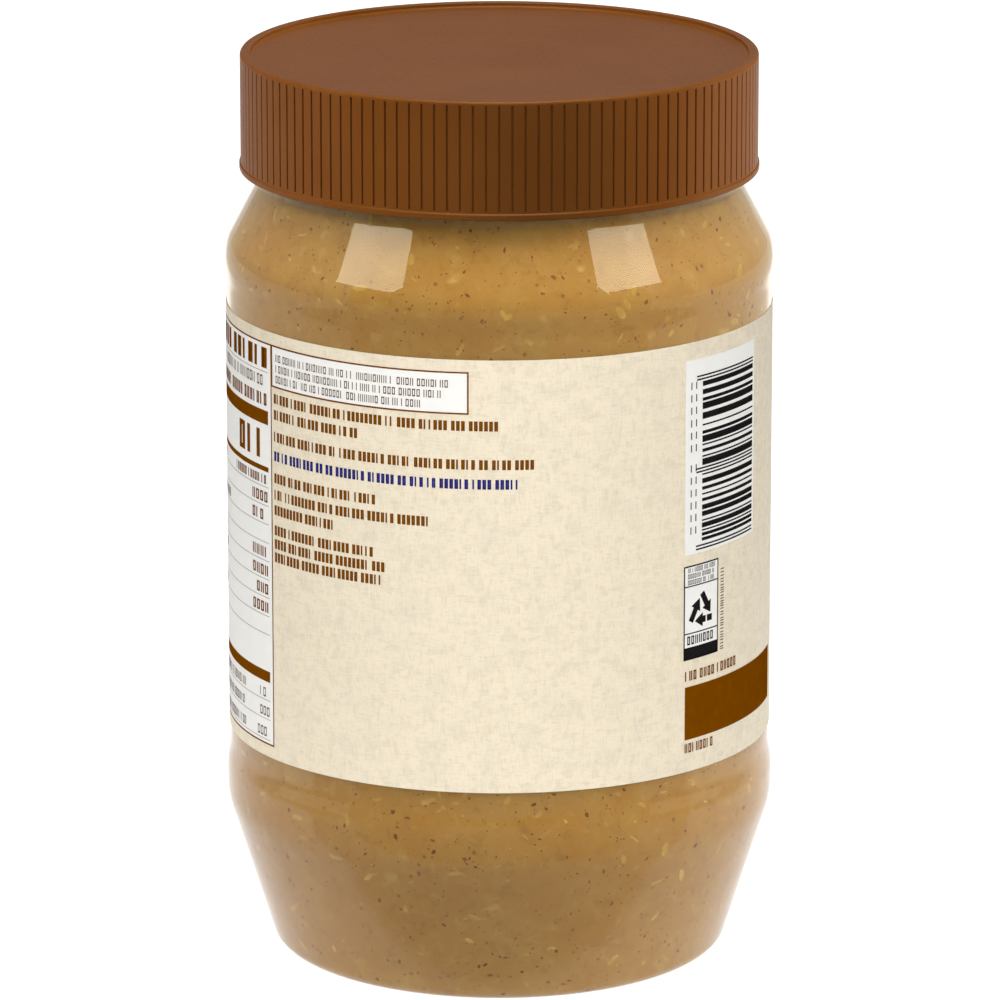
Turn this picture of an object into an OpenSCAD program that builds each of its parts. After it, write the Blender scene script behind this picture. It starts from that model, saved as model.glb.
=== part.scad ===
// Peanut butter jar: a clear blown plastic jar with a ribbed screw lid, a wrap-around
// label on its recessed panel, and its filling. Millimetres, +Z up, standing on z = 0
// with the jar's axis on the Z axis.

/* [Jar body] */
// Outer diameter of the recessed label panel
panel_d = 97.6; // [80:0.1:120]
// Height of the recessed label panel
panel_h = 85.7; // [60:0.1:120]
// Diameter at the ground, where the taper would end without the heel's rounding
heel_d = 80.9; // [60:0.1:82]
// Height of the tapered foot, from the ground to the lower bead
taper_h = 28; // [15:0.5:45]
// How far the lower bead stands out from the panel
lower_bead = 0.6; // [0.2:0.1:2]
// Height of the lower bead's crest
lower_bead_h = 6; // [4:0.5:12]
// Height in which the lower bead falls back to the panel
lower_blend_h = 3.7; // [2.5:0.1:8]
// How far the upper bead stands out from the panel
upper_bead = 0.63; // [0.2:0.01:2]
// Height in which the panel rises to the upper bead
upper_blend_h = 5.3; // [4:0.1:10]
// Thickness of the body's wall
wall = 0.8; // [0.5:0.1:2.5]

/* [Jar shoulder and neck] */
// Height of the sloping shoulder, from the upper bead to the neck
shoulder_h = 12.3; // [8:0.1:30]
// Outer diameter of the neck
neck_d = 85.8; // [70:0.1:90]
// Height of the neck, from the shoulder to the rim that the lid seats on
neck_h = 21.1; // [18:0.1:30]
// Thickness of the neck's wall
neck_wall = 1.7; // [1:0.1:3]

/* [Jar roundings] */
// Radius of the heel
heel_round = 3.6; // [1:0.1:8]
// Radius where the taper turns into the lower bead
taper_round = 15.6; // [4:0.1:20]
// Radius of the lower bead's upper edge
lower_bead_round = 15; // [3:0.5:20]
// Radius where either bead runs into the panel
panel_round = 13; // [3:0.5:14]
// Radius of the upper bead where it turns into the shoulder
shoulder_round = 9.6; // [3:0.1:11]
// Radius at the root of the neck
neck_round = 3; // [1.5:0.1:6]
// Radius on the edges of the neck's rim
rim_round = 0.4; // [0.1:0.1:0.45]

/* [Jar base] */
// Distance from the heel in to the inner edge of the ring that the jar stands on
foot_w = 5.45; // [4:0.05:9]
// Width of the slope from that ring up to the raised middle of the base
push_up_w = 10; // [6:0.5:20]
// Height of the raised middle above the ground
push_up_h = 3; // [1:0.1:8]
// Radius of the bends in the base
base_round = 4; // [1:0.1:5]

/* [Filling] */
// Distance between the neck's rim and the level of the peanut butter
headspace = 12.1; // [2:0.1:60]

/* [Label] */
// Thickness of the label
label_t = 0.1; // [0.05:0.01:0.3]
// Clearance between the label's lower edge and the panel's lower end
label_foot_gap = 3.6; // [0:0.1:10]
// Clearance between the label's upper edge and the panel's upper end
label_head_gap = 4.1; // [0:0.1:10]

/* [Lid] */
// Clearance around the neck, inside the lid's skirt
skirt_gap = 1.95; // [0.3:0.05:4]
// Clearance between the foot of the lid's skirt and the root of the neck
lid_foot_gap = 2.3; // [0.5:0.1:8]
// Thickness of the lid's skirt
lid_wall = 1.2; // [0.8:0.1:2]
// Thickness of the lid's top
lid_top_t = 1.2; // [0.8:0.1:2.5]
// Radius of the lid's upper outer edge
lid_round = 0.6; // [0.2:0.1:1.5]
// Width of the raised ring around the lid's top
ring_w = 1.25; // [0.6:0.05:4]
// Depth of the lid's recessed top below the ring
recess_h = 0.9; // [0.3:0.1:2]
// Radius on the ring's inner edge
ring_round = 0.3; // [0.1:0.1:0.4]
// Radius of the crease around the recessed top
crease_round = 0.5; // [0.2:0.1:0.6]
// Height of the plain band at the foot of the skirt
band_h = 1; // [0.5:0.1:5]
// How far the plain band stands out from the ribs
band_out = 0.25; // [0.1:0.05:0.6]
// Radius on the edges of the plain band
band_round = 0.2; // [0.05:0.05:0.25]

/* [Lid grip] */
// Number of ribs around the lid
rib_count = 128; // [60:1:160]
// Width of the groove between two ribs
groove_w = 0.4; // [0.2:0.05:1]
// Depth of the groove between two ribs
groove_depth = 0.35; // [0.1:0.05:0.6]
// Distance between the grooves' upper end and the lid's rounded edge
groove_top_gap = 0.2; // [0.1:0.1:3]
// Distance between the plain band and the grooves' lower end
groove_foot_gap = 0.2; // [0.2:0.1:3]

/* [Hidden] */
$fn = 180;
arc_step = 4;

panel_r = panel_d / 2;
heel_r = heel_d / 2;
foot_inner_r = heel_r - foot_w;
neck_r = neck_d / 2;
lower_bead_top = taper_h + lower_bead_h;
panel_z = lower_bead_top + lower_blend_h;
upper_bead_z = panel_z + panel_h + upper_blend_h;
neck_z = upper_bead_z + shoulder_h;
rim_z = neck_z + neck_h;
label_h = panel_h - label_foot_gap - label_head_gap;

lid_bore_r = neck_r + skirt_gap;
lid_r = lid_bore_r + lid_wall;
band_r = lid_r + band_out;
recess_z = rim_z + lid_top_t;
lid_top = recess_z + recess_h;
lid_z = neck_z + lid_foot_gap;
ring_out = lid_r - lid_round;
ring_in = ring_out - ring_w;
rib_z = lid_z + band_h + band_out;
groove_z = rib_z + groove_foot_gap;
groove_top = lid_top - lid_round - groove_top_gap;

// Corners of the jar's outside, from the middle of the base to the neck's root, each as
// [radius, height, rounding]
body_corners = [
    [0, push_up_h, 0],
    [foot_inner_r - push_up_w, push_up_h, base_round],
    [foot_inner_r, 0, base_round],
    [heel_r, 0, heel_round],
    [panel_r + lower_bead, taper_h, taper_round],
    [panel_r + lower_bead, lower_bead_top, lower_bead_round],
    [panel_r, panel_z, panel_round],
    [panel_r, panel_z + panel_h, panel_round],
    [panel_r + upper_bead, upper_bead_z, shoulder_round],
    [neck_r, neck_z, neck_round],
    [neck_r, rim_z, 0]
];

// Thickness behind each side of that outline
side_walls = [for (i = [0:len(body_corners) - 2]) i < len(body_corners) - 2 ? wall : neck_wall];

// Left-hand normal of the side that starts at corner i
function side_normal(corners, i) =
    let (d = corners[i + 1] - corners[i])
    [-d[1], d[0]] / norm([d[0], d[1]]);

// How far the outline turns at corner i, left turns positive
function turn_at(corners, i) =
    let (a = side_normal(corners, i - 1), b = side_normal(corners, i))
    asin(a[0] * b[1] - a[1] * b[0]);

// Corner i moved to where the two sides meet once each is set back by its own wall
function set_back(corners, walls, i) =
    let (a = side_normal(corners, i - 1), b = side_normal(corners, i))
    let (cross = a[0] * b[1] - a[1] * b[0], p = walls[i - 1], q = walls[i])
    [corners[i][0] + (p * b[1] - q * a[1]) / cross, corners[i][1] + (q * a[0] - p * b[0]) / cross];

// The same outline on the inside of the wall, its roundings kept concentric
function inside_of(corners, walls) =
    let (last = len(corners) - 1)
    [
        [0, corners[0][1] + walls[0], 0],
        for (i = [1:last - 1])
            let (p = set_back(corners, walls, i))
            [p[0], p[1], max(0.2, corners[i][2] - sign(turn_at(corners, i)) * walls[i - 1])],
        [corners[last][0] - walls[last - 1], corners[last][1], 0]
    ];

// Points of an outline with each corner replaced by an arc that touches both its sides
function rounded(corners) = [
    for (i = [0:len(corners) - 1])
        let (here = [corners[i][0], corners[i][1]], radius = corners[i][2])
        if (radius == 0) here
        else
            let (turn = turn_at(corners, i), side = sign(turn), n = side_normal(corners, i - 1))
            let (cut = radius * tan(abs(turn) / 2), along = [n[1], -n[0]])
            let (centre = here - cut * along + side * radius * n)
            let (steps = max(2, ceil(abs(turn) / arc_step)))
            for (s = [0:steps])
                let (a = turn * s / steps)
                centre - side * radius * [n[0] * cos(a) - n[1] * sin(a), n[0] * sin(a) + n[1] * cos(a)]
];

// The list without its last entry, and the list read from its end
function but_last(list) = [for (i = [0:len(list) - 2]) list[i]];
function backwards(list) = [for (i = [len(list) - 1:-1:0]) list[i]];

inner_corners = inside_of(body_corners, side_walls);
rim_corners = [[neck_r, rim_z, rim_round], [neck_r - neck_wall, rim_z, rim_round]];

// The blown jar: its base, wall, shoulder and neck in one piece
module jar() {
    section = concat(but_last(body_corners), rim_corners, backwards(but_last(inner_corners)));
    color([0.86, 0.85, 0.80, 0.35]) rotate_extrude() polygon(rounded(section));
}

// The filling, out to the jar's wall and up to its own level
module peanut_butter() {
    color([0.66, 0.48, 0.24])
        intersection() {
            rotate_extrude() polygon(rounded(concat(inner_corners, [[0, rim_z, 0]])));
            cylinder(r = panel_r + lower_bead + upper_bead, h = rim_z - headspace);
        }
}

// The label, wrapped once around the panel
module label() {
    color([0.93, 0.88, 0.78])
        translate([0, 0, panel_z + label_foot_gap])
            rotate_extrude() translate([panel_r, 0]) square([label_t, label_h]);
}

// Section of the lid: band, skirt, raised ring and recessed top
lid_corners = [
    [lid_bore_r, lid_z, 0],
    [band_r, lid_z, band_round],
    [band_r, lid_z + band_h, band_round],
    [lid_r, rib_z, band_round],
    [lid_r, lid_top, lid_round],
    [ring_in, lid_top, ring_round],
    [ring_in, recess_z, crease_round],
    [0, recess_z, 0],
    [0, rim_z, 0],
    [lid_bore_r, rim_z, 0]
];

// The screw lid, with its grip grooves cut around the skirt
module lid() {
    color([0.42, 0.25, 0.10])
        difference() {
            rotate_extrude() polygon(rounded(lid_corners));
            for (i = [0:rib_count - 1])
                rotate([0, 0, -90 + i * 360 / rib_count])
                    translate([lid_r - groove_depth, -groove_w / 2, groove_z])
                        cube([2 * groove_depth, groove_w, groove_top - groove_z]);
        }
}

jar();
peanut_butter();
label();
lid();
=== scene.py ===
import math
import random

import bpy
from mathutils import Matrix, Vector


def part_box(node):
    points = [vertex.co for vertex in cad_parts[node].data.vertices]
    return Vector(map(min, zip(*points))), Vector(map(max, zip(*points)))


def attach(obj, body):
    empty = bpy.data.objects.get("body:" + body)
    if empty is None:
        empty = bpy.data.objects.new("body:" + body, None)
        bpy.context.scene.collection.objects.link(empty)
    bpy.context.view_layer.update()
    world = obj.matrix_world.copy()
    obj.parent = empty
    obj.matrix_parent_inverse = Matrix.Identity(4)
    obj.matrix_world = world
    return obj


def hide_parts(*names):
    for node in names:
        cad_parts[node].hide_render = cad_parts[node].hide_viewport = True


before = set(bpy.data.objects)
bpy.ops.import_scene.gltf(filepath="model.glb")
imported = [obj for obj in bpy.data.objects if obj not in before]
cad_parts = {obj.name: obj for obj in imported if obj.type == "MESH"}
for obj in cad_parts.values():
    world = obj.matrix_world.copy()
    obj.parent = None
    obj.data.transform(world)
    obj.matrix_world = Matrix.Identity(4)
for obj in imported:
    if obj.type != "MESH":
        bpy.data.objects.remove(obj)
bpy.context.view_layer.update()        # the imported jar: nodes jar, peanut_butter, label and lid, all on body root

mm = 0.001


# ---- small helpers

def linear(hexColour, alpha=1.0):   # an sRGB hex value as linear RGBA
    parts = [int(hexColour[i:i + 2], 16) / 255 for i in (1, 3, 5)]
    return [c / 12.92 if c <= 0.04045 else ((c + 0.055) / 1.055) ** 2.4 for c in parts] + [alpha]


def deselectAll():
    if bpy.context.object and bpy.context.object.mode != "OBJECT":
        bpy.ops.object.mode_set(mode="OBJECT")
    bpy.ops.object.select_all(action="DESELECT")


def pick(*pieces):                  # these and nothing else selected, the first one active
    deselectAll()
    for piece in pieces:
        piece.select_set(True)
    bpy.context.view_layer.objects.active = pieces[0]
    return pieces[0]


def editMode(select="DESELECT", kind="FACE"):
    bpy.ops.object.mode_set(mode="EDIT")
    bpy.ops.mesh.select_mode(type=kind)
    bpy.ops.mesh.select_all(action=select)


def objectMode():
    bpy.ops.object.mode_set(mode="OBJECT")


def applyPlace():
    bpy.ops.object.transform_apply(location=True, rotation=True, scale=True)


def joined(name, pieces):           # one mesh out of many
    pick(*pieces)
    if len(pieces) > 1:
        bpy.ops.object.join()
    piece = bpy.context.object
    piece.name = piece.data.name = name
    applyPlace()
    return piece


def finished(piece, node, material, angle=None):
    pick(piece)
    piece.data.materials.clear()
    piece.data.materials.append(material)
    if angle is None:
        bpy.ops.object.shade_smooth()
    else:
        bpy.ops.object.shade_smooth_by_angle(angle=math.radians(angle))
    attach(piece, "root")
    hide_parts(node)
    return piece


# ---- outlines: corners as (radius, height, rounding) in mm

def direction(a, b):
    d = Vector((b[0] - a[0], b[1] - a[1]))
    return d.normalized()


def roundedOutline(corners, step=4.0):   # each corner becomes an arc that touches both its sides
    points = []
    for i, (r, z, radius) in enumerate(corners):
        if radius == 0:
            points.append((r, z))
            continue
        a, b = direction(corners[i - 1], corners[i]), direction(corners[i], corners[i + 1])
        turn = math.atan2(a.x * b.y - a.y * b.x, a.dot(b))
        side = math.copysign(1, turn)
        cut = radius * math.tan(abs(turn) / 2)
        centre = Vector((r, z)) - a * cut + Vector((-a.y, a.x)) * radius * side
        steps = max(3, math.ceil(math.degrees(abs(turn)) / step))
        for s in range(steps + 1):
            t = turn * s / steps
            arm = Vector((a.y, -a.x)) * radius * side
            points.append((centre.x + arm.x * math.cos(t) - arm.y * math.sin(t),
                           centre.y + arm.x * math.sin(t) + arm.y * math.cos(t)))
    return points


def setBack(corners, walls):         # the same corners moved in, each side by its own wall
    inner = [(corners[0][0], corners[0][1] + walls[0], 0)]
    for i in range(1, len(corners) - 1):
        a, b = direction(corners[i - 1], corners[i]), direction(corners[i], corners[i + 1])
        cross = a.x * b.y - a.y * b.x
        p, q = walls[i - 1], walls[i]
        r = corners[i][0] + (p * b.x - q * a.x) / cross
        z = corners[i][1] + (p * b.y - q * a.y) / cross
        inner.append((r, z, max(0.2, corners[i][2] - math.copysign(p, cross))))
    last = corners[-1]
    inner.append((last[0] - walls[-1], last[1], 0))
    return inner


def turned(name, outline, steps):    # a lathe: the outline drawn vertex by vertex, then spun about the axis
    deselectAll()
    bpy.ops.mesh.primitive_plane_add(size=mm, location=(outline[0][0] * mm, 0, outline[0][1] * mm))
    piece = bpy.context.object
    piece.name = piece.data.name = name
    editMode("SELECT", "VERT")
    bpy.ops.mesh.merge(type="CENTER")
    for (r0, z0), (r1, z1) in zip(outline, outline[1:]):
        bpy.ops.mesh.extrude_region_move(
            TRANSFORM_OT_translate={"value": ((r1 - r0) * mm, 0, (z1 - z0) * mm)})
    objectMode()
    applyPlace()
    editMode("SELECT", "VERT")
    bpy.ops.mesh.spin(steps=steps, angle=2 * math.pi, center=(0, 0, 0), axis=(0, 0, 1))
    bpy.ops.mesh.select_all(action="SELECT")
    bpy.ops.mesh.remove_doubles(threshold=0.002 * mm)
    bpy.ops.mesh.normals_make_consistent(inside=False)
    objectMode()
    return piece


# ---- materials

def newMaterial(name):
    material = bpy.data.materials.new(name)
    material.use_nodes = True
    return material, material.node_tree, material.node_tree.nodes["Principled BSDF"]


def addNode(tree, kind, settings=None, values=None, links=None):
    # one node: its settings, its sockets' values, and its links as {socket: (node, output)}
    node = tree.nodes.new(kind)
    for key, value in (settings or {}).items():
        setattr(node, key, value)
    for key, value in (values or {}).items():
        node.inputs[key].default_value = value
    for key, (source, output) in (links or {}).items():
        tree.links.new(source.outputs[output], node.inputs[key])
    return node


def perMetre(size):                  # noise scale for features of this size in mm
    return 1000 / size


def ramp(tree, source, output, stops):   # stops as (place, linear colour)
    node = addNode(tree, "ShaderNodeValToRGB", links={"Fac": (source, output)})
    elements = node.color_ramp.elements
    while len(elements) < len(stops):
        elements.new(0.5)
    for element, (place, colour) in zip(elements, stops):
        element.position, element.color = place, colour
    return node


def grey(value):
    return (value, value, value, 1)


petSettings = {"tint": "#fbfaf6", "ior": 1.46, "roughness": 0.03}


def clearPet():                      # stretch-blown PET: clear, hard gloss, very slightly warm
    material, tree, shader = newMaterial("clearBlownPet")
    shader.inputs["Base Color"].default_value = linear(petSettings["tint"])
    shader.inputs["Roughness"].default_value = petSettings["roughness"]
    shader.inputs["IOR"].default_value = petSettings["ior"]
    shader.inputs["Transmission Weight"].default_value = 1
    return material


spreadSettings = {
    "amber": "#b5873a", "tan": "#b99046", "light": "#c9a95c", "dark": "#976f2e", "rust": "#b26c2c",
    "deep": "#76502a", "sliver": "#dcb763", "cloud": 14, "mottle": 3, "grain": 0.8, "speck": 2.2, "sliverSize": 4,
}


def groundPeanutPaste():             # ground roasted peanuts in oil: matte body, tan and amber clouds, fine grain
    s = spreadSettings
    material, tree, shader = newMaterial("groundPeanutPaste")
    place = addNode(tree, "ShaderNodeTexCoord")
    clouds = addNode(tree, "ShaderNodeTexNoise",
                     values={"Scale": perMetre(s["cloud"]), "Detail": 3, "Roughness": 0.55, "Distortion": 0.8},
                     links={"Vector": (place, "Object")})
    body = ramp(tree, clouds, "Fac", [(0.34, linear(s["amber"])), (0.66, linear(s["tan"]))])
    mottle = addNode(tree, "ShaderNodeTexNoise",
                     values={"Scale": perMetre(s["mottle"]), "Detail": 4, "Roughness": 0.6, "Distortion": 0.6},
                     links={"Vector": (place, "Object")})
    lightMask = ramp(tree, mottle, "Fac", [(0.56, grey(0)), (0.78, grey(0.5))])
    withLight = addNode(tree, "ShaderNodeMix", {"data_type": "RGBA"}, {7: linear(s["light"])},
                        {0: (lightMask, "Color"), 6: (body, "Color")})
    darkMask = ramp(tree, mottle, "Fac", [(0.25, grey(0.5)), (0.45, grey(0))])
    withDark = addNode(tree, "ShaderNodeMix", {"data_type": "RGBA"}, {7: linear(s["dark"])},
                       {0: (darkMask, "Color"), 6: (withLight, 2)})
    grain = addNode(tree, "ShaderNodeTexNoise",
                    values={"Scale": perMetre(s["grain"]), "Detail": 2, "Roughness": 0.6},
                    links={"Vector": (place, "Object")})
    rustMask = ramp(tree, grain, "Fac", [(0.62, grey(0)), (0.76, grey(0.45))])
    withRust = addNode(tree, "ShaderNodeMix", {"data_type": "RGBA"}, {7: linear(s["rust"])},
                       {0: (rustMask, "Color"), 6: (withDark, 2)})
    cells = addNode(tree, "ShaderNodeTexVoronoi", values={"Scale": perMetre(s["speck"]), "Randomness": 1},
                    links={"Vector": (place, "Object")})
    spots = ramp(tree, cells, "Distance", [(0.06, grey(1)), (0.22, grey(0))])
    few = addNode(tree, "ShaderNodeSeparateColor", links={"Color": (cells, "Color")})
    chosen = ramp(tree, few, "Red", [(0.8, grey(0)), (0.95, grey(0.75))])
    speckMask = addNode(tree, "ShaderNodeMath", {"operation": "MULTIPLY"},
                        links={0: (spots, "Color"), 1: (chosen, "Color")})
    withSpecks = addNode(tree, "ShaderNodeMix", {"data_type": "RGBA"}, {7: linear(s["deep"])},
                         {0: (speckMask, 0), 6: (withRust, 2)})
    # pale nut slivers just under the surface, stretched one way and wavering
    waver = addNode(tree, "ShaderNodeTexNoise", values={"Scale": perMetre(5), "Detail": 1},
                    links={"Vector": (place, "Object")})
    shove = addNode(tree, "ShaderNodeVectorMath", {"operation": "MULTIPLY_ADD"},
                    {1: (0.006, 0.006, 0.006)}, {0: (waver, "Color"), 2: (place, "Object")})
    stretch = addNode(tree, "ShaderNodeMapping", values={"Rotation": (0.4, 0.9, 0.3), "Scale": (1, 0.45, 1.7)},
                      links={"Vector": (shove, "Vector")})
    nuts = addNode(tree, "ShaderNodeTexVoronoi", values={"Scale": perMetre(s["sliverSize"]), "Randomness": 1},
                   links={"Vector": (stretch, "Vector")})
    nutSpots = ramp(tree, nuts, "Distance", [(0.08, grey(1)), (0.3, grey(0))])
    nutPick = addNode(tree, "ShaderNodeSeparateColor", links={"Color": (nuts, "Color")})
    nutFew = ramp(tree, nutPick, "Green", [(0.78, grey(0)), (0.97, grey(0.55))])
    nutMask = addNode(tree, "ShaderNodeMath", {"operation": "MULTIPLY"},
                      links={0: (nutSpots, "Color"), 1: (nutFew, "Color")})
    withNuts = addNode(tree, "ShaderNodeMix", {"data_type": "RGBA"}, {7: linear(s["sliver"])},
                       {0: (nutMask, 0), 6: (withSpecks, 2)})
    tree.links.new(withNuts.outputs[2], shader.inputs["Base Color"])
    shader.inputs["Roughness"].default_value = 0.6
    shader.inputs["Specular IOR Level"].default_value = 0.2
    return material


def peanutBit(name, colours, size):  # skin or nut, wet with oil: one hue per bit, uneven inside it
    material, tree, shader = newMaterial(name)
    place = addNode(tree, "ShaderNodeTexCoord")
    noise = addNode(tree, "ShaderNodeTexNoise",
                    values={"Scale": perMetre(size), "Detail": 2, "Roughness": 0.6},
                    links={"Vector": (place, "Object")})
    stops = [(0.3 + 0.4 * i / (len(colours) - 1), linear(c)) for i, c in enumerate(colours)]
    colour = ramp(tree, noise, "Fac", stops)
    tree.links.new(colour.outputs["Color"], shader.inputs["Base Color"])
    shader.inputs["Roughness"].default_value = 0.5
    shader.inputs["Specular IOR Level"].default_value = 0.2
    return material


lidSettings = {"brown": "#562e0b", "worn": "#5b330f", "specular": 0.26, "sheen": "#ffc890", "grain": 0.35, "bloom": 25, "bump": 0.012}


def mouldedPolypropylene():          # coloured PP, injection moulded with a fine satin texture
    s = lidSettings
    material, tree, shader = newMaterial("mouldedPolypropylene")
    place = addNode(tree, "ShaderNodeTexCoord")
    bloom = addNode(tree, "ShaderNodeTexNoise",
                    values={"Scale": perMetre(s["bloom"]), "Detail": 3},
                    links={"Vector": (place, "Object")})
    colour = ramp(tree, bloom, "Fac", [(0.35, linear(s["brown"])), (0.65, linear(s["worn"]))])
    tree.links.new(colour.outputs["Color"], shader.inputs["Base Color"])
    grain = addNode(tree, "ShaderNodeTexNoise",
                    values={"Scale": perMetre(s["grain"]), "Detail": 2},
                    links={"Vector": (place, "Object")})
    gloss = ramp(tree, grain, "Fac", [(0.3, grey(0.34)), (0.7, grey(0.42))])
    tree.links.new(gloss.outputs["Color"], shader.inputs["Roughness"])
    bump = addNode(tree, "ShaderNodeBump", values={"Strength": 0.25, "Distance": s["bump"] * mm},
                   links={"Height": (grain, "Fac")})
    tree.links.new(bump.outputs["Normal"], shader.inputs["Normal"])
    shader.inputs["IOR"].default_value = 1.49
    shader.inputs["Specular IOR Level"].default_value = s["specular"]
    shader.inputs["Specular Tint"].default_value = linear(s["sheen"])
    return material


linenSettings = {
    "pale": "#f7ead0", "shade": "#f0e3c8", "slub": "#e3d8c5",
    "thread": 1.3, "slubLength": 3.6, "cloud": 4.5, "weaveAcross": 0.3, "weaveAlong": 1.8,
}


def linenPrintedFilm():              # white PP film printed with a pale linen ground: soft crossed threads
    s = linenSettings
    material, tree, shader = newMaterial("linenPrintedFilm")
    place = addNode(tree, "ShaderNodeTexCoord")

    def threads(across, along, detail):
        both = []
        for scale in ((across, along), (along, across)):
            stretch = addNode(tree, "ShaderNodeMapping",
                              values={"Scale": (perMetre(scale[0]), perMetre(scale[1]), 1)},
                              links={"Vector": (place, "UV")})
            both.append(addNode(tree, "ShaderNodeTexNoise", {"noise_dimensions": "2D"},
                                {"Scale": 1, "Detail": detail, "Roughness": 0.55, "Distortion": 0.4},
                                {"Vector": (stretch, "Vector")}))
        return addNode(tree, "ShaderNodeMath", {"operation": "ADD"},
                       links={0: (both[0], "Fac"), 1: (both[1], "Fac")})

    cloth = ramp(tree, threads(s["thread"], s["slubLength"], 2), 0,
                 [(0.8, linear(s["shade"])), (1.0, linear(s["pale"]))])
    clouds = addNode(tree, "ShaderNodeTexNoise", {"noise_dimensions": "2D"},
                     {"Scale": perMetre(s["cloud"]), "Detail": 3, "Roughness": 0.6},
                     {"Vector": (place, "UV")})
    cloudMask = ramp(tree, clouds, "Fac", [(0.45, grey(0)), (0.8, grey(0.38))])
    mixed = addNode(tree, "ShaderNodeMix", {"data_type": "RGBA"}, {7: linear(s["slub"])},
                    {0: (cloudMask, "Color"), 6: (cloth, "Color")})
    weave = ramp(tree, threads(s["weaveAcross"], s["weaveAlong"], 1), 0,
                 [(0.75, grey(0.925)), (1.0, grey(1))])
    toned = addNode(tree, "ShaderNodeMix", {"data_type": "RGBA", "blend_type": "MULTIPLY"}, {0: 1.0},
                    {6: (mixed, 2), 7: (weave, "Color")})
    tree.links.new(toned.outputs[2], shader.inputs["Base Color"])
    shader.inputs["Roughness"].default_value = 0.5
    shader.inputs["Specular IOR Level"].default_value = 0.12
    return material


def printingInk(name, light, dark, roughness=0.45):   # flexographic ink: a flat field with faint streaks
    material, tree, shader = newMaterial(name)
    place = addNode(tree, "ShaderNodeTexCoord")
    streaks = addNode(tree, "ShaderNodeTexNoise", values={"Scale": perMetre(2.2), "Detail": 3},
                      links={"Vector": (place, "Object")})
    colour = ramp(tree, streaks, "Fac", [(0.3, linear(dark)), (0.7, linear(light))])
    tree.links.new(colour.outputs["Color"], shader.inputs["Base Color"])
    shader.inputs["Roughness"].default_value = roughness
    shader.inputs["Specular IOR Level"].default_value = 0.0
    return material


# ---- the jar

jarBox, spreadBox, labelBox, lidBox = [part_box(n) for n in ("jar", "peanut_butter", "label", "lid")]
rimHeight = jarBox[1].z / mm
labelFoot, labelHead = labelBox[0].z / mm, labelBox[1].z / mm
labelRadius = labelBox[1].x / mm

jar = {
    "panelRadius": 48.8, "heelRadius": 40.45, "taperTop": 28, "lowerBead": 0.6, "upperBead": 0.63,
    "lowerBeadTop": 34, "panelFoot": 37.7, "panelHead": 123.4, "upperBeadHeight": 128.7,
    "neckFoot": 141, "neckRadius": 42.9, "wall": 0.8, "neckWall": 1.7,
    "pushUpRadius": 25, "pushUp": 3, "footInner": 35, "rimRounding": 0.4, "steps": 360,
}


def jarCorners():
    j = jar
    return [
        (0, j["pushUp"], 0), (j["pushUpRadius"], j["pushUp"], 4), (j["footInner"], 0, 4),
        (j["heelRadius"], 0, 3.6), (j["panelRadius"] + j["lowerBead"], j["taperTop"], 15.6),
        (j["panelRadius"] + j["lowerBead"], j["lowerBeadTop"], 15), (j["panelRadius"], j["panelFoot"], 13),
        (j["panelRadius"], j["panelHead"], 13), (j["panelRadius"] + j["upperBead"], j["upperBeadHeight"], 9.6),
        (j["neckRadius"], j["neckFoot"], 3), (j["neckRadius"], rimHeight, 0),
    ]


def makeJar():
    outer = jarCorners()
    walls = [jar["wall"]] * (len(outer) - 2) + [jar["neckWall"]]
    inner = setBack(outer, walls)
    rim = [(outer[-1][0], rimHeight, jar["rimRounding"]), (inner[-1][0], rimHeight, jar["rimRounding"])]
    outline = roundedOutline(outer[:-1] + rim + inner[-2::-1])
    piece = turned("blownJar", outline, jar["steps"])
    return finished(piece, "jar", clearPet())


spread = {"intoWall": 0.5, "intoNeck": 0.3, "steps": 300}


def makeSpread():                    # the filling reaches just into the jar's wall, so no air shows between them
    outer = jarCorners()
    walls = [jar["wall"] - spread["intoWall"]] * (len(outer) - 2) + [jar["neckWall"] - spread["intoNeck"]]
    corners = setBack(outer, walls)
    fill = spreadBox[1].z / mm
    corners[-1] = (corners[-1][0], fill, 1.5)
    corners.append((0, fill, 0))
    piece = turned("peanutSpread", roundedOutline(corners), spread["steps"])
    return finished(piece, "peanut_butter", groundPeanutPaste())


# ---- bits in the spread: one modelled shape each, scattered over its surface as real mesh

def bitShape(name, stretch, seed):   # a flattened uneven lump, one unit across
    deselectAll()
    bpy.ops.mesh.primitive_ico_sphere_add(subdivisions=1, radius=0.5)
    piece = bpy.context.object
    piece.name = name
    editMode("SELECT", "VERT")
    bpy.ops.transform.vertex_random(offset=0.12, seed=seed)
    objectMode()
    piece.scale = stretch
    applyPlace()
    return piece


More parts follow.
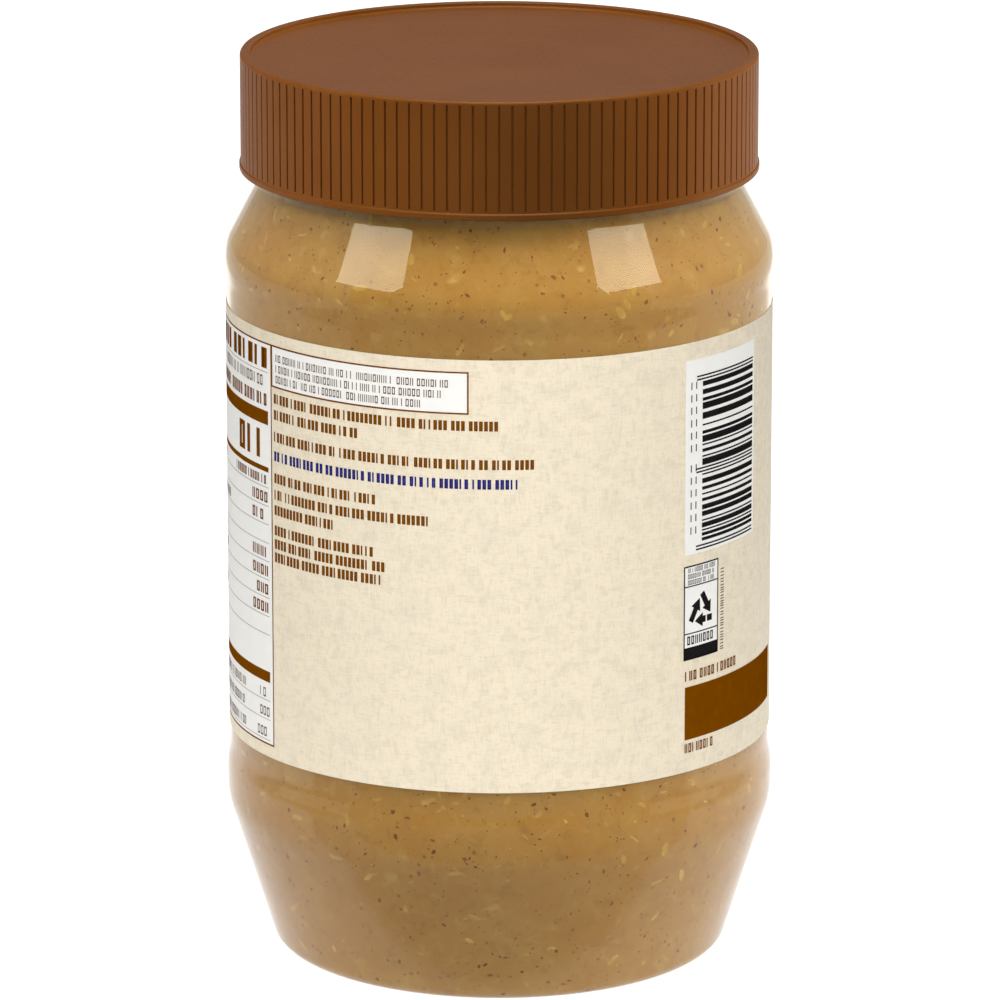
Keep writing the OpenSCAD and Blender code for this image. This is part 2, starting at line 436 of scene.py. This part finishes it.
def scattered(name, surface, shapes, perSquareMm, sizes, sink, seed, bands):
    # points over the surface inside the height bands, one random shape on each, made real at the end
    shelf = bpy.data.collections.new(name + "Shapes")
    bpy.context.scene.collection.children.link(shelf)
    for shape in shapes:
        shelf.objects.link(shape)
        bpy.context.scene.collection.objects.unlink(shape)
    tree = bpy.data.node_groups.new(name, "GeometryNodeTree")
    tree.interface.new_socket("Geometry", in_out="OUTPUT", socket_type="NodeSocketGeometry")
    base = addNode(tree, "GeometryNodeObjectInfo", values={"Object": surface})
    place = addNode(tree, "GeometryNodeInputPosition")
    height = addNode(tree, "ShaderNodeSeparateXYZ", links={"Vector": (place, "Position")})
    inBand = None
    for low, high in bands:
        above = addNode(tree, "FunctionNodeCompare", {"operation": "GREATER_THAN"}, {"B": low * mm},
                        {"A": (height, "Z")})
        below = addNode(tree, "FunctionNodeCompare", {"operation": "LESS_THAN"}, {"B": high * mm},
                        {"A": (height, "Z")})
        both = addNode(tree, "FunctionNodeBooleanMath", {"operation": "AND"},
                       links={0: (above, "Result"), 1: (below, "Result")})
        if inBand is None:
            inBand = both
        else:
            inBand = addNode(tree, "FunctionNodeBooleanMath", {"operation": "OR"},
                             links={0: (inBand, "Boolean"), 1: (both, "Boolean")})
    points = addNode(tree, "GeometryNodeDistributePointsOnFaces",
                     values={"Density": perSquareMm / mm ** 2, "Seed": seed},
                     links={"Mesh": (base, "Geometry"), "Selection": (inBand, "Boolean")})
    sunk = addNode(tree, "ShaderNodeVectorMath", {"operation": "SCALE"}, {"Scale": -sink * mm},
                   {0: (points, "Normal")})
    moved = addNode(tree, "GeometryNodeSetPosition",
                    links={"Geometry": (points, "Points"), "Offset": (sunk, "Vector")})
    spinAngle = addNode(tree, "FunctionNodeRandomValue", values={3: 2 * math.pi, "Seed": seed + 1})
    spinTurn = addNode(tree, "FunctionNodeAxisAngleToRotation", links={"Angle": (spinAngle, 1)})
    turn = addNode(tree, "FunctionNodeRotateRotation", {"rotation_space": "LOCAL"},
                   links={"Rotation": (points, "Rotation"), "Rotate By": (spinTurn, "Rotation")})
    chance = addNode(tree, "FunctionNodeRandomValue", values={"Seed": seed + 2})
    skewed = addNode(tree, "ShaderNodeMath", {"operation": "POWER"}, {1: 2.2}, {0: (chance, 1)})
    size = addNode(tree, "ShaderNodeMapRange", values={"To Min": sizes[0] * mm, "To Max": sizes[1] * mm},
                   links={"Value": (skewed, 0)})
    kinds = addNode(tree, "GeometryNodeCollectionInfo",
                    values={"Collection": shelf, "Separate Children": True, "Reset Children": True})
    bits = addNode(tree, "GeometryNodeInstanceOnPoints", values={"Pick Instance": True},
                   links={"Points": (moved, "Geometry"), "Instance": (kinds, "Instances"),
                          "Rotation": (turn, "Rotation"), "Scale": (size, "Result")})
    real = addNode(tree, "GeometryNodeRealizeInstances", links={"Geometry": (bits, "Instances")})
    addNode(tree, "NodeGroupOutput", links={"Geometry": (real, "Geometry")})
    deselectAll()
    bpy.ops.mesh.primitive_plane_add(size=mm)
    piece = bpy.context.object
    piece.name = piece.data.name = name
    modifier = piece.modifiers.new("scatter", "NODES")
    modifier.node_group = tree
    bpy.ops.object.modifier_apply(modifier="scatter")
    for shape in shapes:
        bpy.data.objects.remove(shape)
    bpy.data.collections.remove(shelf)
    return piece


bits = {
    "skinDensity": 0.052, "skinSizes": (0.3, 1.3), "fineDensity": 0.26, "fineSizes": (0.16, 0.5),
    "chipDensity": 0.021, "chipSizes": (0.5, 3.4),
}


def makeBits(surface):
    bands = [(-1, labelFoot + 0.5), (labelHead - 0.5, 148)]
    skin = [bitShape(f"skin{i}", (1, 0.4 + 0.15 * i, 0.08), 11 + i) for i in range(3)]
    skins = scattered("skinFlecks", surface, skin, bits["skinDensity"], bits["skinSizes"], 0.0, 5, bands)
    finished(skins, "peanut_butter",
             peanutBit("redPeanutSkin", ["#6f431f", "#835325", "#976733"], 4), 12)
    fine = [bitShape(f"fine{i}", (1, 0.7, 0.15), 31 + i) for i in range(2)]
    fines = scattered("groundSkinDust", surface, fine, bits["fineDensity"], bits["fineSizes"], 0.0, 17, bands)
    finished(fines, "peanut_butter",
             peanutBit("groundPeanutSkin", ["#7d5628", "#8d632e", "#9c7136"], 3))
    chip = [bitShape(f"chip{i}", (1, 0.2 + 0.12 * i, 0.025), 51 + i) for i in range(4)]
    chips = scattered("nutChips", surface, chip, bits["chipDensity"], bits["chipSizes"], 0.0, 29, bands)
    finished(chips, "peanut_butter",
             peanutBit("blanchedPeanutChip", ["#cba44c", "#c39b44", "#d3b25c"], 5), 12)
    for piece in (skins, fines, chips):
        print(piece.name, len(piece.data.polygons), "faces")


# ---- the label: everything on it is laid out flat, u along the wrap and v up, then bent round

label = {"lift": 0.05, "inkLift": 0.03, "cell": 1.2, "seamOverlap": 6}


def flatField(u0, v0, u1, v1, lift):   # a flat field of film or ink, cut into cells so that it bends
    deselectAll()
    cells = max(1, math.ceil((u1 - u0) / label["cell"]))
    bpy.ops.mesh.primitive_grid_add(x_subdivisions=cells, y_subdivisions=1, size=1, location=(0, 0, 0))
    piece = bpy.context.object
    piece.scale = ((u1 - u0) * mm, (v1 - v0) * mm, 1)
    piece.rotation_euler = (math.pi / 2, 0, 0)
    piece.location = ((u0 + u1) / 2 * mm, -lift * mm, (labelFoot + (v0 + v1) / 2) * mm)
    applyPlace()
    return piece


def flatStrip(points, lift):          # a flat outline of u, v points as one face
    deselectAll()
    bpy.ops.mesh.primitive_circle_add(vertices=len(points), fill_type="NGON", radius=mm)
    piece = bpy.context.object
    for vertex, (u, v) in zip(piece.data.vertices, points):
        vertex.co = (u * mm, -lift * mm, (labelFoot + v) * mm)
    return piece


def wrapped(name, pieces, lift=0.0):  # joined, bent round the jar's axis and set at the label's radius
    piece = joined(name, pieces)
    across = [v.co.x for v in piece.data.vertices]
    bend = piece.modifiers.new("wrap", "SIMPLE_DEFORM")
    bend.deform_method = "BEND"
    bend.deform_axis = "Z"
    bend.angle = (max(across) - min(across)) / (labelRadius * mm)
    bpy.ops.object.modifier_apply(modifier="wrap")
    piece.location.y = -labelRadius * mm
    applyPlace()
    return piece


film = {"thickness": 0.07, "lift": 0.02, "whiteLift": 0.035, "inkLift": 0.05, "overlap": 6}
inkColours = {
    "brown": ("#7c4600", "#754000"), "navy": ("#2f2f7c", "#28286e"), "black": ("#231f20", "#1d1a1b"),
    "rule": ("#b9b4b0", "#b0aaa6"), "faint": ("#6f5640", "#664d38"),
}
marks = {ink: [] for ink in list(inkColours) + ["white"]}


def stampStock():                      # one upright unit quad, copied for every small mark
    deselectAll()
    bpy.ops.mesh.primitive_plane_add(size=1)
    piece = bpy.context.object
    piece.rotation_euler = (math.pi / 2, 0, 0)
    applyPlace()
    return piece


def mark(ink, u0, v0, u1, v1):         # a small mark is one quad, a wide one is a field of cells
    lift = film["whiteLift"] if ink == "white" else film["inkLift"]
    if u1 - u0 > label["cell"]:
        marks[ink].append(flatField(u0, v0, u1, v1, lift))
        return
    piece = stock.copy()
    piece.data = stock.data.copy()
    bpy.context.scene.collection.objects.link(piece)
    piece.scale = ((u1 - u0) * mm, 1, (v1 - v0) * mm)
    piece.location = ((u0 + u1) / 2 * mm, -lift * mm, (labelFoot + (v0 + v1) / 2) * mm)
    marks[ink].append(piece)


def box(ink, u0, v0, u1, v1, width):   # four rules around a field
    mark(ink, u0, v1 - width, u1, v1)
    mark(ink, u0, v0, u1, v0 + width)
    mark(ink, u0, v0, u0 + width, v1)
    mark(ink, u1 - width, v0, u1, v1)


def wordBars(ink, u0, foot, u1, height, weight, pitch, draw):
    # a line of type as plain upright bars in word-long groups: it says nothing
    u = u0
    while u < u1 - pitch:
        for letter in range(draw.randint(2, 9)):
            if u > u1 - pitch * 0.8:
                break
            second = u + pitch * 0.72 - weight
            mark(ink, u, foot, u + weight, foot + height)
            if draw.random() < 0.8:
                mark(ink, second, foot, second + weight, foot + height)
                if draw.random() < 0.6:    # a closed block now and then keeps the line's grey even
                    mark(ink, u + weight, foot, second, foot + height * 0.17)
                    mark(ink, u + weight, foot + height * 0.83, second, foot + height)
            u += pitch
        u += pitch * 0.55


# v of each line's foot, u of its two ends and its ink
sideText = {"left": -46.1, "height": 1.75, "weight": 0.31, "pitch": 0.88, "lines": [
    (65.4, 1.2, "brown"), (62.5, -25.2, "brown"), (58.5, 6.5, "brown"), (55.0, 4.3, "navy"),
    (51.0, -22.2, "brown"), (48.0, -11.6, "brown"), (45.2, -30.5, "brown"),
    (41.5, -22.1, "brown"), (39.0, -20.4, "brown"), (36.6, -20.8, "brown"),
]}
noteBox = {"left": -46.8, "right": -5.3, "foot": 68.3, "head": 75.9, "rule": 0.3,
           "lines": [(73.0, -7.6), (71.1, -9.0), (69.2, -13.0)]}
factsPanel = {
    "left": -101, "right": -46.8, "foot": 2.2, "head": 75.9, "rule": 0.3, "margin": 1.2,
    "rowFoot": 49.5, "rowPitch": 3.37, "rows": 9, "bars": [(61.0, 63.5), (52.4, 53.3), (13.8, 15.8)],
}
codePanel = {"left": 35.6, "right": 57.1, "foot": 39.7, "head": 74.8, "module": 0.298,
             "barLeft": 39.8, "guardLeft": 38.3, "barRight": 56.4, "barsHead": 71.8}
markPanel = {"left": 35.4, "right": 44.5, "foot": 20.5, "head": 37.7, "rule": 0.28,
             "bandFoot": 33.8, "markFoot": 25.2, "blockHead": 22.8, "markRadius": 3.3}
dateField = {"left": 35.8, "right": 69.0, "foot": 5.9, "head": 15.6}


def layOutText():
    t = sideText
    draw = random.Random(3)
    for foot, end, ink in t["lines"]:
        wordBars(ink, t["left"], foot, end, t["height"], t["weight"], t["pitch"], draw)
    n = noteBox
    mark("white", n["left"], n["foot"], n["right"], n["head"])
    box("brown", n["left"], n["foot"], n["right"], n["head"], n["rule"])
    for foot, end in n["lines"]:
        wordBars("faint", n["left"] + 1.3, foot, end, 1.35, 0.17, 0.82, draw)


def layOutFacts():
    p = factsPanel
    draw = random.Random(8)
    right, left = p["right"] - p["margin"], p["left"] + p["margin"]
    mark("white", p["left"], p["foot"], p["right"], p["head"])
    box("brown", p["left"], p["foot"], p["right"], p["head"], p["rule"])
    wordBars("brown", left, 71.2, right, 3.7, 0.95, 2.6, draw)
    mark("rule", left, 70.45, right, 70.6)
    wordBars("faint", left + 12, 67.9, right - 0.6, 1.9, 0.22, 1.15, draw)
    wordBars("brown", left, 64.4, right, 2.2, 0.42, 1.3, draw)
    for foot, head in p["bars"]:
        mark("brown", left, foot, right, head)
    wordBars("brown", right - 12, 54.6, right + 0.8, 5.2, 1.25, 3.9, draw)
    wordBars("brown", left, 55.4, left + 22, 3.0, 0.7, 2.1, draw)
    wordBars("brown", right - 14, 50.1, right, 1.6, 0.3, 0.95, draw)
    for row in range(p["rows"]):
        foot = p["rowFoot"] - row * p["rowPitch"]
        mark("rule", left, foot, right, foot + 0.14)
        if row not in (0, 3, 8):
            wordBars("brown", right - 6 + 1.5 * (row % 3 == 0), foot + 0.65, right + 0.4, 1.9, 0.4, 1.5, draw)
        wordBars("brown", left, foot + 0.65, left + 24 + 9 * draw.random(), 1.7, 0.3, 1.0, draw)
    for foot, end in ((10.3, -3.6), (6.8, -3.6), (3.0, -4.6)):
        mark("rule", left, foot, right, foot + 0.14)
        wordBars("faint", right + end, foot + 0.6, right + 0.3, 1.7, 0.2, 1.2, draw)
        wordBars("faint", left, foot + 0.6, right - 9, 1.6, 0.2, 0.95, draw)


def layOutCode():                      # a ladder of bars of mixed widths that encodes nothing
    c = codePanel
    draw = random.Random(21)
    mark("white", c["left"], c["foot"], c["right"], c["head"])
    v, count = c["barsHead"], 0
    while count < 30:
        width = c["module"] * draw.choice((1, 1, 1, 2, 2, 3, 4))
        guard = count in (0, 1, 14, 15, 28, 29)
        if guard:
            width = c["module"]
        start = c["guardLeft"] if guard else c["barLeft"]
        mark("black", start, v - width, c["barRight"], v)
        v -= width + c["module"] * (1 if guard else draw.choice((1, 1, 2, 2, 3)))
        count += 1
    for i in range(12):                # plain ticks where the digits would be
        foot = c["barsHead"] - 2.3 - i * 2.25 - (1.4 if i > 5 else 0)
        mark("black", c["left"] + 1.3, foot, c["left"] + 1.55, foot + 1.3)
        mark("black", c["left"] + 2.5, foot, c["left"] + 2.75, foot + 1.3)


def layOutMark():
    m = markPanel
    draw = random.Random(34)
    mark("white", m["left"], m["foot"], m["right"], m["head"])
    box("black", m["left"], m["foot"], m["right"], m["head"], m["rule"])
    for height in (m["bandFoot"], m["markFoot"]):
        mark("black", m["left"], height, m["right"], height + m["rule"] * 0.8)
    mark("black", m["left"], m["foot"], m["right"], m["blockHead"])
    for foot in (36.4, 35.3, 34.2):
        wordBars("black", m["left"] + 1.0, foot, m["right"] - 0.8, 0.85, 0.12, 0.55, draw)
    wordBars("black", m["left"] + 0.9, m["blockHead"] + 0.45, m["right"] - 0.7, 1.6, 0.26, 1.0, draw)
    centreU, centreV = (m["left"] + m["right"]) / 2, (m["bandFoot"] + m["markFoot"]) / 2 - 0.5
    for third in range(3):             # three plain arrows that chase each other round a triangle
        a, b = math.radians(90 - 120 * third), math.radians(-30 - 120 * third)
        start = Vector((math.cos(a), math.sin(a))) * m["markRadius"]
        along = (Vector((math.cos(b), math.sin(b))) * m["markRadius"] - start).normalized()
        aside = Vector((along.y, -along.x))
        for near, far, nearHalf, farHalf in ((0.1, 2.7, 0.6, 0.6), (2.6, 4.6, 1.3, 0.05)):
            ends = [start + along * near + aside * nearHalf, start + along * far + aside * farHalf,
                    start + along * far - aside * farHalf, start + along * near - aside * nearHalf]
            corners = [(centreU + p.x, centreV + p.y) for p in ends]
            marks["black"].append(flatStrip(corners, film["inkLift"]))
    v = m["foot"] + 0.2
    while v < m["head"] - 2:           # small upright type beside the mark
        mark("black", m["right"] + 0.7, v, m["right"] + 1.7, v + 0.16)
        v += draw.choice((0.42, 0.5, 0.62))


def layOutDate():
    d = dateField
    draw = random.Random(55)
    wordBars("brown", d["left"], d["head"] + 1.1, d["left"] + 15.2, 1.75, 0.3, 1.05, draw)
    mark("brown", d["left"], d["foot"], d["right"], d["head"])
    wordBars("brown", d["left"], d["foot"] - 2.4, d["left"] + 7.8, 1.7, 0.26, 0.95, draw)


def mapFlat(piece):                    # UV in metres along the wrap and up, read before it is bent
    uv = piece.data.uv_layers.active.data
    for loop in piece.data.loops:
        co = piece.data.vertices[loop.vertex_index].co
        uv[loop.index].uv = (co.x, co.z)


def makeLabel():
    half = math.pi * labelRadius
    height = labelHead - labelFoot
    sheet = flatField(-half, 0, half, height, film["lift"])
    flap = flatField(half - film["overlap"], 0, half, height, film["lift"] + film["thickness"])
    skinMaterial = linenPrintedFilm()
    for name, piece in (("labelFilm", sheet), ("labelOverlap", flap)):
        mapFlat(pick(piece))
        body = wrappedBack(name, piece)
        wall = body.modifiers.new("wall", "SOLIDIFY")
        wall.thickness = film["thickness"] * mm
        wall.offset = -1
        bpy.ops.object.modifier_apply(modifier="wall")
        finished(body, "label", skinMaterial, 40)
    layOutText()
    layOutFacts()
    layOutCode()
    layOutMark()
    layOutDate()
    bpy.data.objects.remove(stock)
    for ink, pieces in marks.items():
        if ink == "white":
            material = printingInk("opaqueWhiteInk", "#fffdf8", "#fbf9f4")
        else:
            material = printingInk(ink + "PrintingInk", *inkColours[ink])
        print(ink, "marks:", len(pieces))
        finished(wrappedBack(ink + "Print", *pieces), "label", material)


def wrappedBack(name, *pieces):        # joined and bent round the jar's axis
    piece = wrapped(name, list(pieces))
    editMode("SELECT", "VERT")
    bpy.ops.mesh.remove_doubles(threshold=0.0005 * mm)
    objectMode()
    return piece


# ---- the lid

lid = {
    "ribs": 128, "stepsPerRib": 6, "wall": 1.2, "rounding": 0.6, "ring": 1.25, "recess": 0.9,
    "ringRounding": 0.3, "crease": 0.5, "band": 1.0, "bandOut": 0.25, "bandRounding": 0.22,
    "grooveDepth": 0.34, "grooveSide": 0.05, "edge": 0.05, "topGap": 0.75, "footGap": 0.2, "topThickness": 1.2,
}


def lidOutline():
    d = lid
    foot, head = lidBox[0].z / mm, lidBox[1].z / mm
    bandRadius = lidBox[1].x / mm
    rib = bandRadius - d["bandOut"]
    bore = rib - d["wall"]
    ringIn = rib - d["rounding"] - d["ring"]
    recess = head - d["recess"]
    under = recess - d["topThickness"]
    ribFoot = foot + d["band"] + d["bandOut"]
    grooveFoot, grooveHead = ribFoot + d["footGap"], head - d["topGap"]
    corners = [
        (0, under, 0), (bore, under, 0.6), (bore, foot, 0.2), (bandRadius, foot, d["bandRounding"]),
        (bandRadius, foot + d["band"], d["bandRounding"]), (rib, ribFoot, 0.1),
        (rib, grooveFoot, 0), (rib, grooveHead, 0),
        (rib, head, d["rounding"]), (ringIn, head, d["ringRounding"]),
        (ringIn, recess, d["crease"]), (0, recess, 0),
    ]
    return roundedOutline(corners, 12), (grooveFoot + grooveHead) / 2


def makeLid():
    d = lid
    outline, ribMiddle = lidOutline()
    steps = d["ribs"] * d["stepsPerRib"]
    piece = turned("ribbedLid", outline, steps)
    editMode("SELECT")
    halfStep = math.pi / steps         # a groove, not an edge, then faces the viewer
    bpy.ops.transform.rotate(value=halfStep, orient_axis="Z", center_override=(0, 0, 0))
    bpy.ops.mesh.select_all(action="DESELECT")
    objectMode()
    pitch = 2 * math.pi / d["ribs"]
    for face in piece.data.polygons:
        angle = math.atan2(face.center.y, face.center.x) + math.pi / 2
        fromGroove = abs((angle / pitch + 0.5) % 1 - 0.5)
        outside = math.hypot(face.center.x, face.center.y) > lidBox[1].x - 1.0 * mm
        tall = abs(face.center.z - ribMiddle * mm) < 0.2 * mm
        face.select = outside and tall and fromGroove < 0.05
    print("grooves:", sum(face.select for face in piece.data.polygons))
    bpy.ops.object.mode_set(mode="EDIT")
    bpy.ops.mesh.select_mode(type="FACE")
    bpy.ops.mesh.inset(thickness=d["grooveSide"] * mm, depth=-d["grooveDepth"] * mm, use_individual=True)
    objectMode()
    soften = piece.modifiers.new("soften", "BEVEL")
    soften.width = d["edge"] * mm
    soften.segments = 1
    soften.angle_limit = math.radians(35)
    bpy.ops.object.modifier_apply(modifier="soften")
    return finished(piece, "lid", mouldedPolypropylene(), 30)


# ---- the studio: a grey floor that glows pale in zones, soft light, camera

studio = {
    "floor": 6.0, "floorTone": "#959595", "floorGlow": 1.0, "nearGlow": 0.42, "sideGlow": 0.3, "darkGlow": 0.04,
    "darkFrom": 0.085, "darkSpread": 2.3,
    "cameraDistance": 1.3011, "cameraHeight": 0.42377, "pitch": 14.735, "lens": 268.77, "shiftX": 0.00065,
    "worldFront": 0.1, "worldSide": 0.13, "worldTurn": (-0.42, -0.36),
}
# azimuth from the viewer's side, height, distance, width, height, watts, what it may light
lamps = {
    "softboxLeft": (-61, 35, 0.9, 0.42, 0.27, 2.0, "gloss"),
    "softboxRight": (61, 35, 0.9, 0.4, 0.27, 1.9, "gloss"),
    "overhead": (0, 80, 1.1, 0.9, 0.9, 17, "all"),
    "frontFill": (0, 22, 1.6, 3.5, 0.9, 25, "diffuse"),
    "spreadLight": (20, 10, 1.4, 2.2, 1.5, 24.5, "through"),
    "spreadLeft": (-80, 32, 1.2, 0.8, 0.8, 12, "through"),
    "spreadRight": (80, 32, 1.2, 0.8, 0.8, 13.5, "through"),
    "sidePanelLeft": (-112, 0, 0.32, 0.76, 0.9, 1.05, "gloss"),
    "sidePanelRight": (112, 0, 0.32, 0.76, 0.9, 1.35, "gloss"),
    "lidSideLeft": (-84, 4, 1.0, 0.3, 0.3, 12, "lid"),
    "lidSideRight": (105, 4, 1.0, 0.3, 0.3, 22, "lid"),
    "lidTop": (0, 88, 1.0, 0.5, 0.5, 4.6, "lid"),
    "lidRear": (180, 20, 1.0, 0.8, 0.5, 0.16, "lidGloss"),
}


def makeFloor():
    s = studio
    deselectAll()
    bpy.ops.mesh.primitive_grid_add(x_subdivisions=20, y_subdivisions=20, size=s["floor"])
    floor = bpy.context.object
    floor.name = "studioFloor"
    material, tree, shader = newMaterial("glowingStudioFloor")
    place = addNode(tree, "ShaderNodeTexCoord")
    parts = addNode(tree, "ShaderNodeSeparateXYZ", links={"Vector": (place, "Object")})

    def sum3(a, b, c, x, y):           # a * x + b * y + c
        first = addNode(tree, "ShaderNodeMath", {"operation": "MULTIPLY_ADD"}, {1: a, 2: c}, {0: x})
        return addNode(tree, "ShaderNodeMath", {"operation": "MULTIPLY_ADD"}, {1: b},
                       {0: y, 2: (first, 0)})

    def step(source, low, high, below, above):
        return addNode(tree, "ShaderNodeMapRange", {"interpolation_type": "SMOOTHSTEP"},
                       {"From Min": low, "From Max": high, "To Min": below, "To Max": above},
                       {"Value": (source, 0)})

    aside = addNode(tree, "ShaderNodeMath", {"operation": "ABSOLUTE"}, links={0: (parts, "X")})
    ahead = addNode(tree, "ShaderNodeMath", {"operation": "MULTIPLY"}, {1: -1.0}, {0: (parts, "Y")})
    # painted light: the floor glows though it is no lamp, bright where the camera looks, half bright just ahead of
    # the jar, dim far out at the sides and nearly dark in a wedge in front
    strip = sum3(1, 0.07, -0.17, (aside, 0), (ahead, 0))
    glow = step(strip, 0, 0.1, s["floorGlow"], s["sideGlow"])
    near = step(ahead, 0.041, 0.048, 1, s["nearGlow"])
    wedge = sum3(-1, s["darkSpread"], -s["darkSpread"] * 0.04, (aside, 0), (ahead, 0))
    inWedge = step(wedge, 0, 0.03, 0, 1)
    farAhead = step(ahead, s["darkFrom"], s["darkFrom"] + 0.01, 0, 1)
    dark = addNode(tree, "ShaderNodeMath", {"operation": "MULTIPLY"}, links={0: (inWedge, 0), 1: (farAhead, 0)})
    nearGlow = addNode(tree, "ShaderNodeMath", {"operation": "MULTIPLY"}, links={0: (glow, 0), 1: (near, 0)})
    level = addNode(tree, "ShaderNodeMix", {"data_type": "FLOAT"}, {3: s["darkGlow"]},
                    {0: (dark, 0), 2: (nearGlow, 0)})
    # the zoned emission is painted light: it lights the jar and shows in its reflections
    tree.links.new(level.outputs[0], shader.inputs["Emission Strength"])
    shader.inputs["Emission Color"].default_value = (1, 1, 1, 1)
    shader.inputs["Base Color"].default_value = linear(s["floorTone"])
    shader.inputs["Roughness"].default_value = 0.9
    shader.inputs["Specular IOR Level"].default_value = 0.0
    floor.data.materials.append(material)


def areaLight(name, azimuth, elevation, distance, width, height, power, lights, receivers):
    data = bpy.data.lights.new(name, "AREA")
    data.shape = "RECTANGLE"
    data.size, data.size_y = width, height
    data.energy = power
    data.color = (1, 0.995, 0.82) if lights == "gloss" else (1, 1, 1)
    lamp = bpy.data.objects.new(name, data)
    bpy.context.scene.collection.objects.link(lamp)
    a, e = math.radians(azimuth), math.radians(elevation)
    away = Vector((math.sin(a) * math.cos(e), -math.cos(a) * math.cos(e), math.sin(e)))
    lamp.location = Vector((0, 0, 0.13)) + away * distance
    lamp.rotation_euler = away.to_track_quat("Z", "Y").to_euler()
    lamp.visible_camera = False
    lamp.visible_glossy = lights in ("all", "gloss", "lidGloss")
    lamp.visible_diffuse = lights in ("all", "diffuse", "lid")
    lamp.visible_transmission = lights in ("all", "through")
    if lights in receivers:
        lamp.light_linking.receiver_collection = receivers[lights]


def makeLights():
    s = studio
    receivers = {"lid": bpy.data.collections.new("lidOnly"), "gloss": bpy.data.collections.new("jarOnly")}
    receivers["lidGloss"] = receivers["lid"]
    receivers["lid"].objects.link(lidPiece)
    receivers["gloss"].objects.link(jarPiece)
    for name, settings in lamps.items():
        areaLight(name, *settings, receivers)
    world = bpy.data.worlds.new("studioRoom")
    bpy.context.scene.world = world
    world.use_nodes = True
    tree = world.node_tree
    background = tree.nodes["Background"]
    place = addNode(tree, "ShaderNodeTexCoord")
    parts = addNode(tree, "ShaderNodeSeparateXYZ", links={"Vector": (place, "Generated")})
    # pale walls at the sides and behind, a dark room on the viewer's side
    wall = addNode(tree, "ShaderNodeMapRange", {"interpolation_type": "SMOOTHSTEP"},
                   {"From Min": s["worldTurn"][0], "From Max": s["worldTurn"][1], "To Min": s["worldFront"],
                    "To Max": s["worldSide"]}, {"Value": (parts, "Y")})
    tree.links.new(wall.outputs["Result"], background.inputs["Strength"])
    background.inputs["Color"].default_value = (1, 1, 1, 1)


def makeCamera():
    s = studio
    data = bpy.data.cameras.new("productCamera")
    data.lens = s["lens"]
    data.sensor_width = 36
    data.shift_x = s["shiftX"]
    data.clip_end = 50
    camera = bpy.data.objects.new("productCamera", data)
    bpy.context.scene.collection.objects.link(camera)
    camera.location = (0, -s["cameraDistance"], s["cameraHeight"])
    camera.rotation_euler = (math.radians(90 - s["pitch"]), 0, 0)
    bpy.context.scene.camera = camera


makeCamera()
stock = stampStock()
makeLabel()
print("label printed and wrapped")
jarPiece = makeJar()
print("jar turned")
filling = makeSpread()
makeBits(filling)
print("filling and bits made")
lidPiece = makeLid()
print("lid made")
makeFloor()
makeLights()
bpy.context.scene.view_settings.view_transform = "Standard"
